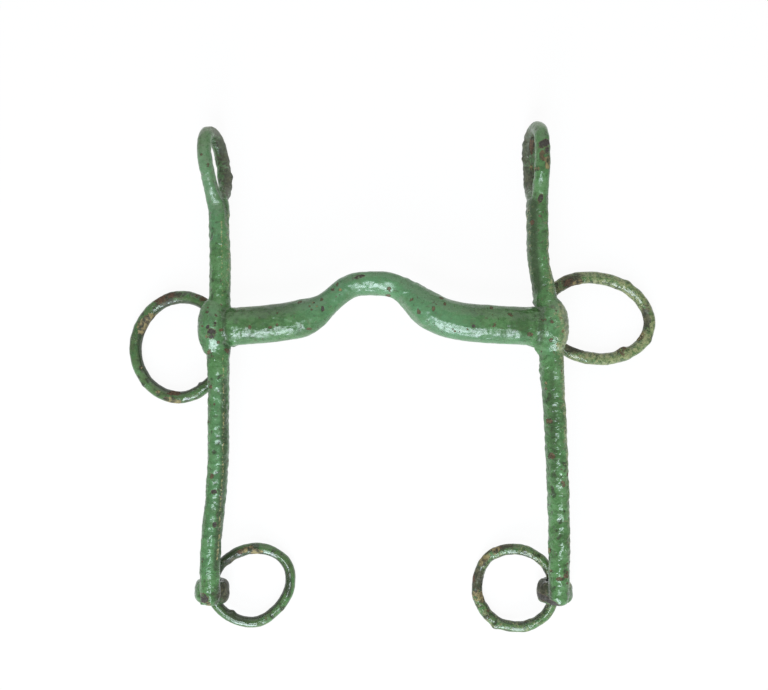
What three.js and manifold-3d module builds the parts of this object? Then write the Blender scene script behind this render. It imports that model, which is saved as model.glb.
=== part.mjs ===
// Curb bit for a horse: a ported mouthpiece between two long cheeks, with an eye for the cheek
// strap at the top of each, a loose ring behind each boss and a loose rein ring at each lower end.
// Millimetres. The bit lies on its back: +X to the right cheek, +Y to the upper eyes, +Z to the
// front. The origin is under the middle of the whole, on the surface that it lies on.
import * as THREE from 'three';
import { mergeVertices } from 'three/addons/utils/BufferGeometryUtils.js';
import Module from 'manifold-3d';

const wasm = await Module();
wasm.setup();

// Fits
const gap = 0.3; // between pieces that touch
const swingPlay = 0.35; // round a ring's wire in its eye
const restFlat = 0.5; // depth of the flats worn on the back

// Mouthpiece
const mouthWidth = 137.8; // between the shanks' middle lines at the bosses
const mouthBar = 15.4; // thickness at the ends
const mouthBow = 1.5; // rise of the bar towards its middle, without the port
const mouthDrop = 0.25; // of the bar's ends under the bosses' middles
const mouthLap = 2.6; // the bar's ends stop this far inside the shanks' middle lines
const portBar = 9.4; // thickness at the crown of the port
const portRise = 16.9;
const portFlanks = [18.6, 20.3]; // from the crown to the middle of the left and the right flank
const portShape = 3.6; // steepness of the flanks
const portOffset = -5.3; // of the crown from the middle of the mouth
const thinOffset = -7.6; // of the middle of the thin stretch
const thinHalf = 14; // where it begins to swell again
const thinSwell = 13; // length of the swelling

// Shanks
const shankBar = 8.7; // thickness at the boss
const shankNeck = 8.2; // thickness under the upper eye
const shankTip = 8.1; // thickness at the lower end
const shankTop = 46; // level of the weld under the upper eye
const shankEnd = -116; // level of the lower end
const shankBow = 3.9; // how far the lower shank stands out from the boss

// Upper eyes
const eyeStock = 5.6; // of the bent strand
const eyeDepth = 24.6; // outside, from front to back
const eyeBend = 0.7; // how square the crown of the loop is bent
const eyeDraw = 0.45; // where the strands are held closer, as a share of the loop's height
const frontPinch = 1.2; // how much closer the front strand is held there
const backPinch = 1.6; // and the back one
const footSwell = 0.16; // how much thicker the strand's ends are, as a share of it
const footShare = 0.2; // of the strand's length that swells
const throatWide = 1.12; // the weld under the eye, in shares of the shank's neck
const throatTaper = 0.2;
const throatDeep = 0.2;
const seatDepth = 0.7; // of the flat that the strap has worn
const seatWidth = 6.4;

// Bosses
const bossWidth = 14.4;
const bossHeight = 25;
const bossDepth = 14.6;
const lugHeight = 4.6;
const lugWall = 2.6;
const webShare = 0.8; // width of the lug's web, as a share of the lug's

// Rein eyes
const collarHeight = 9;
const collarWall = 3.5;
const collarRound = 1.7; // how much the collar draws in at its ends
const collarBarrel = [[1, 1], [0.8, 0.45], [0.45, 0.1], [0, 0]]; // level and draw from an end to the middle
const collarLevel = -112.1;
const saddleWide = 0.84; // the block that joins a collar to its shank, in shares of the shank
const saddleTall = 0.8; // and of the collar

// Rings
const mouthWire = 5.4; // thickness of the mouth rings' wire
const reinWire = 4.7;

// The cheeks were forged by eye and differ. A bend is a share of the length and how far the shank
// stands out there. An eye's front strand splays out from its back one. Bosses and collars stand
// out from the shank's line, and the hole of the lug lies in from it. A ring has the half axes of
// its wire's middle line, its turn in its own plane and its level below its eye.
const leftCheek = {
  name: 'left',
  side: -1,
  upperBends: [[0.3, -0.4], [0.6, -0.5], [1, 0.1]],
  lowerBends: [[0.3, 0.04], [0.45, 0.05], [0.62, 0.36], [0.76, 0.82], [0.88, 0.95]],
  eyeTop: 84.4,
  eyeLean: 4.2,
  eyeSplay: 4.4,
  bossOut: 1.5,
  lugLevel: -2.6,
  lugIn: 0.3,
  mouthRing: { across: 19.3, along: 21.4, turn: 12, drop: 5.7 },
  collarOut: 0.5,
  reinRing: { across: 16.7, along: 15.5, turn: 26, drop: -2 },
};
const rightCheek = {
  name: 'right',
  side: 1,
  upperBends: [[0.3, -2.2], [0.6, -4.9], [1, -5.2]],
  lowerBends: [[0.2, 0.3], [0.38, 0.6], [0.6, 0.85], [0.78, 0.97], [0.9, 0.98]],
  eyeTop: 86.4,
  eyeLean: -4.9,
  eyeSplay: 2.4,
  bossOut: 0.2,
  lugLevel: 2.2,
  lugIn: 1.4,
  mouthRing: { across: 23.4, along: 17.3, turn: -8, drop: -1.7 },
  collarOut: -0.3,
  reinRing: { across: 16.9, along: 16.7, turn: 20, drop: -0.6 },
};
const cheeks = [leftCheek, rightCheek];

const trim = 2; // spare length where a bar is cut off flat
const far = 400; // past every piece
const samePoint = 1e-4; // points closer than this are one

// Facets
const barSides = 14;
const shankSteps = 28;
const eyeSteps = 44;
const throatSteps = 6;
const mouthSteps = 46;
const ringSteps = 52;
const ringSides = 8;
const hubSides = 24;
const ballRows = 16;
const holeSides = 20;
const domeScales = [0.45, 0.8, 0.95]; // a rounded end's rings, in shares of the bar's thickness

const mouthWireRadius = mouthWire / 2;
const reinWireRadius = reinWire / 2;
const shankRadius = shankBar / 2;
const strand = eyeStock / 2;

// An upright hole clears its wire, which curves and may pass through at a slant
function holeRadius(wireRadius, ring, height) {
  const slant = Math.asin(Math.abs(ring.drop) / ring.along);
  const half = height / 2;
  const sagitta = (half * half) / (2 * Math.min(ring.across, ring.along));
  return wireRadius / Math.cos(slant) + half * Math.tan(slant) + sagitta + swingPlay;
}
const widest = (list) => Math.max(...list);
const lugHole = widest(cheeks.map(({ mouthRing }) => holeRadius(mouthWireRadius, mouthRing, lugHeight)));
const collarHole = widest(cheeks.map(({ reinRing }) => holeRadius(reinWireRadius, reinRing, collarHeight)));
const lugRadius = lugHole + lugWall;
const collarRadius = collarHole + collarWall;
const lugAxis = lugRadius - restFlat; // height of the mouth rings' hinge line
const collarAxis = collarRadius - restFlat; // height of the rein rings' hinge line
const mouthRingRoom = mouthWireRadius + swingPlay + mouthBar / 2;
const shankAxis = lugAxis + Math.max(mouthRingRoom, lugHole + gap + shankRadius); // and the mouthpiece's

const paint = (color, roughness) => new THREE.MeshStandardMaterial({ color, roughness, metalness: 0.1 });
const greenPaint = paint(0x4f7a4b, 0.35);
const wornPaint = paint(0x66784f, 0.45);

// A closed solid of rings of points, each ring joined to the next one
function loft(rings, closed = false) {
  const sides = rings[0].length;
  const points = rings.flat();
  const faces = [];
  const last = closed ? rings.length : rings.length - 1;
  for (let i = 0; i < last; i += 1) {
    const here = i * sides;
    const next = ((i + 1) % rings.length) * sides;
    for (let j = 0; j < sides; j += 1) {
      const k = (j + 1) % sides;
      faces.push(here + j, here + k, next + k, here + j, next + k, next + j);
    }
  }
  if (!closed) {
    const end = (rings.length - 1) * sides;
    for (let j = 1; j < sides - 1; j += 1) {
      faces.push(0, j + 1, j);
      faces.push(end, end + j, end + j + 1);
    }
  }
  const geometry = new THREE.BufferGeometry();
  geometry.setAttribute('position', new THREE.Float32BufferAttribute(points.flatMap((p) => p.toArray()), 3));
  geometry.setIndex(faces);
  return geometry;
}

// A round bar along a curve, its width and depth given along the way, ends rounded where asked
function bar(curve, steps, sizeAt, rounded = [false, false], across = new THREE.Vector3(1, 0, 0)) {
  const stops = [];
  for (let i = 0; i <= steps; i += 1) stops.push({ t: i / steps, scale: 1, out: 0 });
  const domeAt = (scale) => Math.sqrt(1 - scale * scale);
  const dome = (t, way) => domeScales.map((scale) => ({ t, scale, out: way * domeAt(scale) }));
  if (rounded[0]) stops.unshift(...dome(0, -1));
  if (rounded[1]) stops.push(...dome(1, 1).reverse());
  const rings = stops.map(({ t, scale, out }) => {
    const [width, depth] = sizeAt(t);
    const tangent = curve.getTangentAt(t);
    const side = across.clone().addScaledVector(tangent, -across.dot(tangent)).normalize();
    const front = new THREE.Vector3().crossVectors(tangent, side);
    const centre = curve.getPointAt(t).addScaledVector(tangent, (out * depth) / 2);
    return Array.from({ length: barSides }, (_, j) => {
      const angle = (2 * Math.PI * j) / barSides;
      return centre.clone()
        .addScaledVector(side, (scale * width * Math.cos(angle)) / 2)
        .addScaledVector(front, (scale * depth * Math.sin(angle)) / 2);
    });
  });
  return loft(rings);
}

function solid(geometry) {
  const bare = geometry.clone();
  bare.deleteAttribute('normal');
  bare.deleteAttribute('uv');
  const merged = mergeVertices(bare, samePoint);
  return new wasm.Manifold(new wasm.Mesh({
    numProp: 3,
    vertProperties: new Float32Array(merged.attributes.position.array),
    triVerts: new Uint32Array(merged.index.array),
  }));
}

function geometryOf(body) {
  const mesh = body.getMesh();
  const geometry = new THREE.BufferGeometry();
  geometry.setAttribute('position', new THREE.BufferAttribute(new Float32Array(mesh.vertProperties), 3));
  geometry.setIndex(new THREE.BufferAttribute(new Uint32Array(mesh.triVerts), 1));
  return geometry;
}

function block(low, high) {
  const size = high.clone().sub(low);
  const middle = low.clone().add(high).multiplyScalar(0.5);
  return solid(new THREE.BoxGeometry(size.x, size.y, size.z).translate(middle.x, middle.y, middle.z));
}

const at = (x, y, z) => new THREE.Vector3(x, y, z);
const smooth = (t) => t * t * (3 - 2 * t);
const underside = block(at(-far, -far, -far), at(far, far, 0));
const aboveShank = block(at(-far, shankTop, -far), at(far, far, far));
const belowEye = block(at(-far, -far, -far), at(far, shankTop + gap, far));

function named(name, geometry, material) {
  const flat = geometry.toNonIndexed();
  flat.computeVertexNormals();
  const mesh = new THREE.Mesh(flat, material);
  mesh.name = name;
  return mesh;
}

// The shank: a round bar that bows out below the boss and leans above it
const half = mouthWidth / 2;
function shank({ side, upperBends, lowerBends }, grow = 0) {
  const stand = (out, level) => at(side * (half + out), level, shankAxis);
  const below = lowerBends.map(([share, out]) => stand(shankBow * out, shankEnd * share));
  const above = upperBends.map(([share, out]) => stand(out, shankTop * share));
  const end = at(below.at(-1).x, shankEnd + shankTip / 2, shankAxis);
  const top = above.at(-1).clone().add(at(0, trim, 0));
  const line = new THREE.CatmullRomCurve3([end, ...below.reverse(), stand(0, 0), ...above, top]);
  const sizeAt = (t) => {
    const level = line.getPointAt(t).y;
    const goal = level < 0 ? shankTip : shankNeck;
    const share = level < 0 ? level / shankEnd : level / shankTop;
    const thick = shankBar + (goal - shankBar) * smooth(Math.min(1, share));
    return [thick + 2 * grow, thick + 2 * grow];
  };
  return solid(bar(line, shankSteps, sizeAt, [true, false]));
}

// The upper eye: a long loop, bent back behind the shank's line and closed on its own foot
function upperEye({ side, upperBends, eyeTop, eyeLean, eyeSplay }) {
  const backLine = strand - restFlat;
  const frontLine = eyeDepth - restFlat - strand;
  const depth = (frontLine - backLine) / 2;
  const middle = (frontLine + backLine) / 2;
  const crown = eyeTop - strand - depth;
  const foot = side * (half + upperBends.at(-1)[1]);
  const top = side * (half + eyeLean);
  const splayAt = (z) => (side * eyeSplay * (z - middle)) / (2 * depth);
  const leanAt = (y) => foot + (top - foot) * smooth(Math.min(1, (y - shankTop) / (eyeTop - shankTop)));
  const eyePoint = (y, z) => at(leanAt(y) + splayAt(z), y, z);
  const weld = shankTop + shankRadius;
  const drawn = weld + (crown - weld) * eyeDraw;
  const loop = new THREE.CatmullRomCurve3([
    eyePoint(weld, shankAxis),
    eyePoint(drawn, frontLine - frontPinch),
    eyePoint(crown, frontLine),
    eyePoint(crown + depth * eyeBend, middle + depth * eyeBend),
    eyePoint(crown + depth, middle),
    eyePoint(crown + depth * eyeBend, middle - depth * eyeBend),
    eyePoint(crown, backLine),
    eyePoint(drawn, backLine + backPinch),
    eyePoint(weld + strand, shankAxis - strand * backPinch),
  ]);
  const strandSize = (t) => {
    const swell = 1 + footSwell * (1 - smooth(Math.min(1, Math.min(t, 1 - t) / footShare)));
    return [eyeStock * swell, eyeStock * swell];
  };
  const bent = solid(bar(loop, eyeSteps, strandSize, [true, true]));
  const throatLine = new THREE.CatmullRomCurve3([
    at(foot, shankTop - trim, shankAxis),
    at(leanAt(weld), weld, shankAxis - strand / 2),
    at(leanAt(weld + strand), weld + strand, shankAxis - strand / 2),
  ]);
  const throatSize = (t) => [shankNeck * (throatWide - throatTaper * t), shankNeck * (1 + throatDeep * t)];
  const throat = solid(bar(throatLine, throatSteps, throatSize));
  const inside = crown + depth - strand;
  const wear = block(
    at(top - eyeStock * 2, inside - strand, middle - seatWidth / 2),
    at(top + eyeStock * 2, inside + seatDepth, middle + seatWidth / 2),
  );
  return geometryOf(bent.add(throat).subtract(wear).subtract(underside).subtract(belowEye));
}

function uprightCylinder(radius, height, x, y, z, sides) {
  return solid(new THREE.CylinderGeometry(radius, radius, height, sides).translate(x, y, z));
}

const lugHinge = ({ side, lugIn }) => side * (half - lugIn);
const reinHinge = ({ side, collarOut }) => side * (half + shankBow + collarOut);

// The boss: a lens-shaped hub round the shank, with a lug behind it that the mouth ring runs in
function bossOutside(cheek, grow = 0) {
  const hinge = lugHinge(cheek);
  const ball = solid(new THREE.SphereGeometry(1, hubSides, ballRows)
    .scale(bossWidth / 2 + grow, bossHeight / 2 + grow, bossDepth / 2 + grow)
    .translate(cheek.side * (half + cheek.bossOut), 0, shankAxis));
  const lugTall = lugHeight + 2 * grow;
  const lug = uprightCylinder(lugRadius + grow, lugTall, hinge, cheek.lugLevel, lugAxis, hubSides);
  const reach = at(lugRadius * webShare + grow, lugHeight / 2 + grow, 0);
  const web = block(
    at(hinge, cheek.lugLevel, lugAxis).sub(reach),
    at(hinge, cheek.lugLevel, shankAxis).add(reach),
  );
  return ball.add(lug).add(web);
}

function boss(cheek, shankRoom) {
  const hole = uprightCylinder(lugHole, bossHeight, lugHinge(cheek), cheek.lugLevel, lugAxis, holeSides);
  return geometryOf(bossOutside(cheek).subtract(hole).subtract(shankRoom).subtract(underside));
}

// The rein eye: a barrel-shaped collar behind the shank's lower end that the rein ring runs in
function reinEye(cheek, shankRoom) {
  const hinge = reinHinge(cheek);
  const tall = collarHeight / 2;
  const flat = (x, y) => new THREE.Vector2(x, y);
  const lower = collarBarrel.map(([level, draw]) => flat(collarRadius - collarRound * draw, -level * tall));
  const upper = lower.slice(0, -1).reverse().map((point) => flat(point.x, -point.y));
  const barrel = new THREE.LatheGeometry([flat(0, -tall), ...lower, ...upper, flat(0, tall)], hubSides);
  const outer = solid(barrel.translate(hinge, collarLevel, collarAxis));
  const saddle = block(
    at(hinge - (shankTip * saddleWide) / 2, collarLevel - tall * saddleTall, collarAxis),
    at(hinge + (shankTip * saddleWide) / 2, collarLevel + tall * saddleTall, shankAxis),
  );
  const hole = uprightCylinder(collarHole, collarHeight * 2, hinge, collarLevel, collarAxis, holeSides);
  return geometryOf(outer.add(saddle).subtract(hole).subtract(shankRoom).subtract(underside));
}

// The mouthpiece: a round bar with a low port, its ends butted against the bosses
function mouthpiece(bossRooms, shankRooms) {
  const line = new THREE.CatmullRomCurve3(Array.from({ length: mouthSteps + 1 }, (_, i) => {
    const x = half * ((2 * i) / mouthSteps - 1);
    const flank = portFlanks[x < portOffset ? 0 : 1];
    const arch = portRise / (1 + (Math.abs(x - portOffset) / flank) ** portShape);
    return at(x, arch + mouthBow * (1 - (x / half) ** 2) - mouthDrop, shankAxis);
  }));
  const sizeAt = (t) => {
    const away = Math.abs(line.getPointAt(t).x - thinOffset);
    const swell = smooth(Math.min(1, Math.max(0, (away - thinHalf) / thinSwell)));
    const thick = portBar + (mouthBar - portBar) * swell;
    return [thick, thick];
  };
  const round = solid(bar(line, mouthSteps, sizeAt, [false, false], at(0, 0, 1)));
  const end = half - mouthLap;
  const between = block(at(-end, -far, -far), at(end, far, far));
  const rooms = [...bossRooms, ...shankRooms];
  return geometryOf(rooms.reduce((body, room) => body.subtract(room), round.intersect(between)));
}

// A closed wire loop, hung in its eye at the origin and lying towards side, its far end down
function ringGeometry(ring, wire, side) {
  const turn = side * THREE.MathUtils.degToRad(ring.turn);
  const pathPoint = (angle) => {
    const x = ring.across * Math.cos(angle);
    const y = ring.along * Math.sin(angle);
    return at(x * Math.cos(turn) - y * Math.sin(turn), x * Math.sin(turn) + y * Math.cos(turn), 0);
  };
  const rise = Math.hypot(ring.across * Math.sin(turn), ring.along * Math.cos(turn));
  const lag = Math.atan2(ring.across * Math.sin(turn), ring.along * Math.cos(turn));
  const lift = Math.asin(ring.drop / rise);
  const eyeAngle = (side > 0 ? Math.PI - lift : lift) - lag;
  const eye = pathPoint(eyeAngle);
  const nudge = Math.PI / ringSteps;
  const rings = Array.from({ length: ringSteps }, (_, i) => {
    const angle = (2 * Math.PI * i) / ringSteps;
    const centre = pathPoint(angle).sub(eye);
    const along = pathPoint(angle + nudge).sub(pathPoint(angle - nudge)).normalize();
    const outward = at(along.y, -along.x, 0);
    return Array.from({ length: ringSides }, (_, j) => {
      const around = (2 * Math.PI * j) / ringSides;
      return centre.clone()
        .addScaledVector(outward, (wire / 2) * Math.cos(around))
        .add(at(0, 0, (wire / 2) * Math.sin(around)));
    });
  });
  return loft(rings.map((points) => points.reverse()), true);
}

function hungRing(name, ring, wire, side, eye) {
  const geometry = ringGeometry(ring, wire, side);
  geometry.computeBoundingBox();
  const reach = side > 0 ? geometry.boundingBox.max.x : -geometry.boundingBox.min.x;
  const slope = Math.asin((eye.z - wire / 2) / (reach - wire / 2));
  const mesh = named(name, geometry, wornPaint);
  mesh.rotation.y = side * slope;
  mesh.position.copy(eye);
  return mesh;
}

const bit = new THREE.Group();
const shankRooms = cheeks.map((cheek) => shank(cheek, gap));
const bossRooms = cheeks.map((cheek) => bossOutside(cheek, gap));
bit.add(named('mouthpiece', mouthpiece(bossRooms, shankRooms), greenPaint));
cheeks.forEach((cheek, i) => {
  const { name, side, lugLevel } = cheek;
  const cutShank = geometryOf(shank(cheek).subtract(aboveShank));
  bit.add(named(`${name}_shank`, cutShank, greenPaint));
  bit.add(named(`${name}_upper_eye`, upperEye(cheek), greenPaint));
  bit.add(named(`${name}_boss`, boss(cheek, shankRooms[i]), greenPaint));
  bit.add(named(`${name}_rein_eye`, reinEye(cheek, shankRooms[i]), greenPaint));
  const mouthEye = at(lugHinge(cheek), lugLevel, lugAxis);
  const lowEye = at(reinHinge(cheek), collarLevel, collarAxis);
  bit.add(hungRing(`${name}_mouth_ring`, cheek.mouthRing, mouthWire, side, mouthEye));
  bit.add(hungRing(`${name}_rein_ring`, cheek.reinRing, reinWire, -side, lowEye));
});

// The origin goes under the middle of the whole
const whole = new THREE.Group();
whole.add(bit);
bit.updateMatrixWorld(true);
const box = new THREE.Box3().setFromObject(bit, true);
const middle = box.getCenter(new THREE.Vector3());
bit.position.set(-middle.x, -middle.y, -box.min.z);

export default whole;
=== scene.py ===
"""A hand-forged curb bit in chipped green paint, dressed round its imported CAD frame."""

import math
from collections import namedtuple

import bmesh
import bpy
import numpy as np
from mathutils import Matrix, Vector, noise


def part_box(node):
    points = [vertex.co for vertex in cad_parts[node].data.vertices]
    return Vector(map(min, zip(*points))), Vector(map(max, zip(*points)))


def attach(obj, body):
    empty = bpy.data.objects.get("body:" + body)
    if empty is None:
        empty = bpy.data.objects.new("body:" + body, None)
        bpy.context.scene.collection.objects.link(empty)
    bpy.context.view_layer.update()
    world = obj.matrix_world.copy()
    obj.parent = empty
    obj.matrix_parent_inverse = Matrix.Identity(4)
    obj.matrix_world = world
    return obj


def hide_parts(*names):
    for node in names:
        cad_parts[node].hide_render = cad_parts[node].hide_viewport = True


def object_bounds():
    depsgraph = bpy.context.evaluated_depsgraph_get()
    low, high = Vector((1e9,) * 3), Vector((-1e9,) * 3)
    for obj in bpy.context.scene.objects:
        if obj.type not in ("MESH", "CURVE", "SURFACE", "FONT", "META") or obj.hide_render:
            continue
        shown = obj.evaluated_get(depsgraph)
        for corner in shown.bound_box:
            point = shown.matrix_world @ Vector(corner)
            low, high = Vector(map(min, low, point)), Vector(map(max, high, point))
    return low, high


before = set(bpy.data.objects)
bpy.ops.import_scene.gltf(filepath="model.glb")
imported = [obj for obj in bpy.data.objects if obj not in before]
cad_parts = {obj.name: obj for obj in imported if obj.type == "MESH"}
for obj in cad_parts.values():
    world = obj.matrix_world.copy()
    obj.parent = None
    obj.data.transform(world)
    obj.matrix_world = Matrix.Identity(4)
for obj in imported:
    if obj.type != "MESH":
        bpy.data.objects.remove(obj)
cad_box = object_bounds()
MM = 0.001

# Camera, as the photograph was taken: straight down on the bit. Lengths here and below are in mm
IMAGE_WIDTH = 768
IMAGE_HEIGHT = 690
MM_PER_PIXEL = 0.4164
CAMERA_MIDDLE = (-3.62, 14.62)
SHANK_AXIS = 16.67  # height over the floor at which MM_PER_PIXEL holds
CAMERA_DISTANCE = 425.0
SENSOR = 36.0
NEAREST_SEEN = 10.0


def add_camera():
    data = bpy.data.cameras.new("camera")
    data.sensor_width = SENSOR
    data.sensor_fit = "HORIZONTAL"
    data.lens = SENSOR * CAMERA_DISTANCE / (IMAGE_WIDTH * MM_PER_PIXEL)
    data.clip_start = NEAREST_SEEN * MM
    data.dof.use_dof = False
    camera = bpy.data.objects.new("camera", data)
    camera.location = Vector((*CAMERA_MIDDLE, SHANK_AXIS + CAMERA_DISTANCE)) * MM
    bpy.context.scene.collection.objects.link(camera)
    bpy.context.scene.camera = camera


def seen_at(pixel, height):
    """The place in mm that shows at a pixel of the photograph, at a height over the floor."""
    scale = MM_PER_PIXEL * (CAMERA_DISTANCE - (height - SHANK_AXIS)) / CAMERA_DISTANCE
    x = CAMERA_MIDDLE[0] + (pixel[0] - IMAGE_WIDTH / 2) * scale
    y = CAMERA_MIDDLE[1] + (IMAGE_HEIGHT / 2 - pixel[1]) * scale
    return x, y


# Heights over the floor of what the photograph shows: the front of the cheeks and the mouthpiece,
# the upper eyes' back strands, the collars and the rings
FRONT = 20.5
BACK_STRAND = 4.5
COLLAR = 9.0
RING_HEIGHT = 6.0

# Marks seen in the photograph: kind, pixel, half length, half width, turn in degrees and height
Mark = namedtuple("Mark", "kind pixel long wide turn height", defaults=(0, FRONT))
BOSS_MARKS = [
    Mark("metal", (213.0, 333.5), 1.9, 2.0),
    Mark("metal", (209, 327), 0.9, 0.7, 40),
    Mark("metal", (216.5, 324), 0.6, 1.0),
    Mark("ochre", (208, 337), 0.7, 0.7),
    Mark("rust", (217, 315), 1.1, 0.5, -50),
    Mark("rust", (208, 312), 1.0, 0.7),
    Mark("rust", (204, 326), 0.7, 0.7),
    Mark("rust", (219, 342), 0.8, 0.8),
    Mark("rust", (551, 322), 0.9, 0.7),
    Mark("rust", (550, 340), 1.0, 0.9),
    Mark("rust", (543, 320), 1.1, 0.9),
    Mark("rust", (556, 315), 0.7, 0.6),
    Mark("ochre", (559, 318), 0.6, 0.5),
    Mark("ochre", (561, 331), 0.5, 0.8),
    Mark("ochre", (556, 344), 0.6, 0.5),
]
SHANK_MARKS = [
    Mark("rust", (211.5, 476), 1.4, 1.2),
    Mark("metal", (214, 491.6), 1.2, 1.0),
    Mark("metal", (214.7, 524.7), 0.8, 1.2),
    Mark("metal", (199.5, 575), 0.8, 1.4, 0, 15),
    Mark("metal", (205.5, 595), 2.4, 2.3, 20, 14),
    Mark("ochre", (211, 600), 1.1, 1.1, 0, 14),
    Mark("rust", (210, 387), 1.3, 0.9, 50),
    Mark("rust", (210, 353), 1.4, 1.8),
    Mark("rust", (226, 351), 1.0, 1.2),
    Mark("rust", (222, 330), 0.9, 0.7),
    Mark("rust", (550, 421), 1.3, 1.5),
    Mark("rust", (552, 456), 1.4, 1.5),
    Mark("ochre", (551, 552), 0.7, 1.3),
    Mark("rust", (564.5, 573), 1.2, 2.0, 0, 17),
    Mark("rust", (559, 579), 1.6, 0.9),
    Mark("metal", (547, 598.5), 5.4, 1.5, -17, 11),
    Mark("rust", (540, 216), 0.8, 0.6),
    Mark("rust", (533, 222), 0.9, 1.4),
    Mark("ochre", (547, 383), 0.5, 0.7),
    Mark("ochre", (547, 389), 0.5, 0.7),
    Mark("rust", (562, 483), 0.8, 1.3, 0, 18),
    Mark("ochre", (552, 572), 0.5, 0.8),
    # At the collars these soil and dirt marks are partly painted shade under the shanks' feet
    Mark("soil", (227, 590), 3.0, 6.0, 0, COLLAR),
    Mark("dirt_and_shade", (222, 590), 3.0, 6.0, 0, COLLAR),
    Mark("soil", (540, 590), 3.0, 5.0, 0, COLLAR),
    Mark("dirt_and_shade", (544, 588), 3.0, 6.0, 0, COLLAR),
]
EYE_MARKS = [
    Mark("metal", (543, 145), 2.8, 1.6, 30),
    Mark("metal", (546, 152), 1.2, 1.6),
    Mark("rust", (541, 158), 1.3, 2.6),
    Mark("ochre", (546, 163), 1.2, 3.4),
    Mark("ochre", (536, 170), 1.4, 1.0),
    Mark("metal", (540, 199), 1.0, 2.0, -20),
    Mark("soil", (527, 148), 4.0, 9.0, 0, BACK_STRAND),
    Mark("soil", (526, 178), 4.0, 7.0, 0, BACK_STRAND),
    Mark("rust", (531, 146), 1.0, 4.0, 0, BACK_STRAND),
    Mark("ochre", (533, 166), 0.8, 1.2, 0, 10),
    Mark("soil", (226, 150), 4.0, 10.0, 0, BACK_STRAND),
    Mark("soil", (230, 180), 3.0, 9.0, 0, BACK_STRAND),
    Mark("soil", (217, 133), 2.6, 2.6, 0, 8),
    Mark("rust", (209, 167), 0.8, 1.1),
    Mark("rust", (203, 156), 0.7, 0.6),
]
MOUTH_MARKS = [
    Mark("rust", (418.8, 311.9), 1.6, 0.9, -60),
    Mark("rust", (432.9, 308.9), 0.8, 1.4),
    Mark("rust", (411.6, 299.7), 0.7, 0.7),
    Mark("rust", (444.5, 304.3), 0.7, 0.8),
    Mark("rust", (441, 298.5), 1.6, 0.6, -25),
    Mark("rust", (491.2, 308.4), 0.8, 0.8),
    Mark("rust", (509.6, 315), 1.3, 0.7, -20),
    Mark("rust", (492.8, 325.2), 1.0, 0.9),
    Mark("rust", (529, 334), 1.6, 0.9, -20),
    Mark("rust", (452.4, 329.3), 1.4, 0.5, 10),
    Mark("metal", (473, 326), 0.8, 0.7),
    Mark("rust", (251, 327.4), 0.8, 1.0),
    Mark("rust", (271, 327.4), 1.0, 0.6),
    Mark("rust", (278, 325), 0.6, 0.6),
    Mark("rust", (309.5, 328.8), 1.3, 0.6),
    Mark("rust", (322, 300), 0.8, 0.8),
    Mark("metal", (322.7, 309), 0.7, 1.2),
    Mark("ochre", (310, 307), 0.6, 0.6),
    Mark("ochre", (314, 303), 0.5, 0.5),
    Mark("ochre", (317, 307), 0.45, 0.45),
    Mark("rust", (312, 310), 0.6, 0.5),
    Mark("rust", (299.7, 302.7), 1.2, 0.6, 20),
    Mark("rust", (337.6, 284.9), 0.7, 1.3),
    Mark("ochre", (340.5, 290), 0.7, 0.6),
    Mark("rust", (333, 290), 1.0, 0.6),
    Mark("metal", (359.4, 276.9), 2.4, 0.7, 12),
    Mark("rust", (389.3, 289), 1.0, 1.0),
    Mark("rust", (388.1, 294.7), 1.3, 0.6),
]
RING_MARKS = [
    Mark("ochre", (149, 317.5), 2.8, 2.2, 45),
    Mark("ochre", (142, 325), 2.6, 2.6),
    Mark("rust", (165, 298), 5.2, 2.0, 25),
    Mark("ochre", (139.5, 332), 1.5, 1.3),
    Mark("ochre", (172, 400.5), 4.0, 1.8, -8),
    Mark("rust", (174, 393.5), 3.4, 1.0),
    Mark("rust", (201, 298), 2.6, 1.6, -20),
    Mark("ochre", (140, 367.5), 0.9, 0.8),
    Mark("ochre", (158, 392), 1.1, 0.8),
    Mark("ochre", (255, 551), 3.6, 2.0, -20),
    Mark("ochre", (246, 549.5), 2.2, 1.2, 10),
    Mark("rust", (240, 552), 2.0, 1.2, 30),
    Mark("ochre", (577, 283), 2.4, 1.6, 20),
    Mark("rust", (568, 283), 2.8, 2.0, 30),
    Mark("rust", (622, 352), 2.4, 1.6, 15),
    Mark("ochre", (641, 336), 2.4, 1.6, 50),
    Mark("ochre", (494, 550), 3.6, 2.2, 30),
    Mark("ochre", (484, 560), 3.4, 2.0, 50),
    Mark("ochre", (479, 597), 3.2, 2.4, -50),
    Mark("ochre", (540, 605), 1.6, 1.2, 40),
    Mark("rust", (473, 578), 1.6, 3.0),
    # By the left collar these soil and dirt marks on the ring are partly painted shadow of the shank
    Mark("soil", (232, 563), 2.6, 3.0, 20),
    Mark("dirt_and_shade", (232, 562), 6.0, 6.0, 20),
    Mark("dirt_and_shade", (236, 608), 8.0, 4.0, -40),
    Mark("soil", (234, 606), 2.6, 1.8, -40),
    Mark("dirt_and_shade", (288, 585), 1.4, 6.0, 0),
    Mark("soil", (477, 580), 3.0, 7.0, 10),
    Mark("soil", (500, 547), 7.0, 2.0, 12),
    Mark("dirt_and_shade", (482, 575), 2.0, 4.0, 20),
    Mark("dirt_and_shade", (140, 345), 1.5, 7.0, 0),
    Mark("soil", (570, 281), 6.0, 3.0, 20),
    Mark("soil", (647, 318), 2.0, 6.0, 0),
    Mark("soil", (572, 348), 6.0, 2.6, -20),
    Mark("soil", (146, 325), 2.6, 5.0, -20),
    Mark("soil", (168, 299), 7.0, 2.2, 20),
]
MARK_SHRINK = 1.15
MARK_DEPTH = 7.0  # a mark fades out between one and two times this far above and below its height

# How stained the worn paint of each ring is, and how calm its surface, from 0 to 1
RING_STAIN = {
    "left_mouth_ring": 0.12,
    "right_mouth_ring": 0.72,
    "left_rein_ring": 0.04,
    "right_rein_ring": 0.40,
}
RING_CALM = {
    "left_mouth_ring": 0.75,
    "right_mouth_ring": 0.55,
    "left_rein_ring": 0.85,
    "right_rein_ring": 0.25,
}
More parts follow.
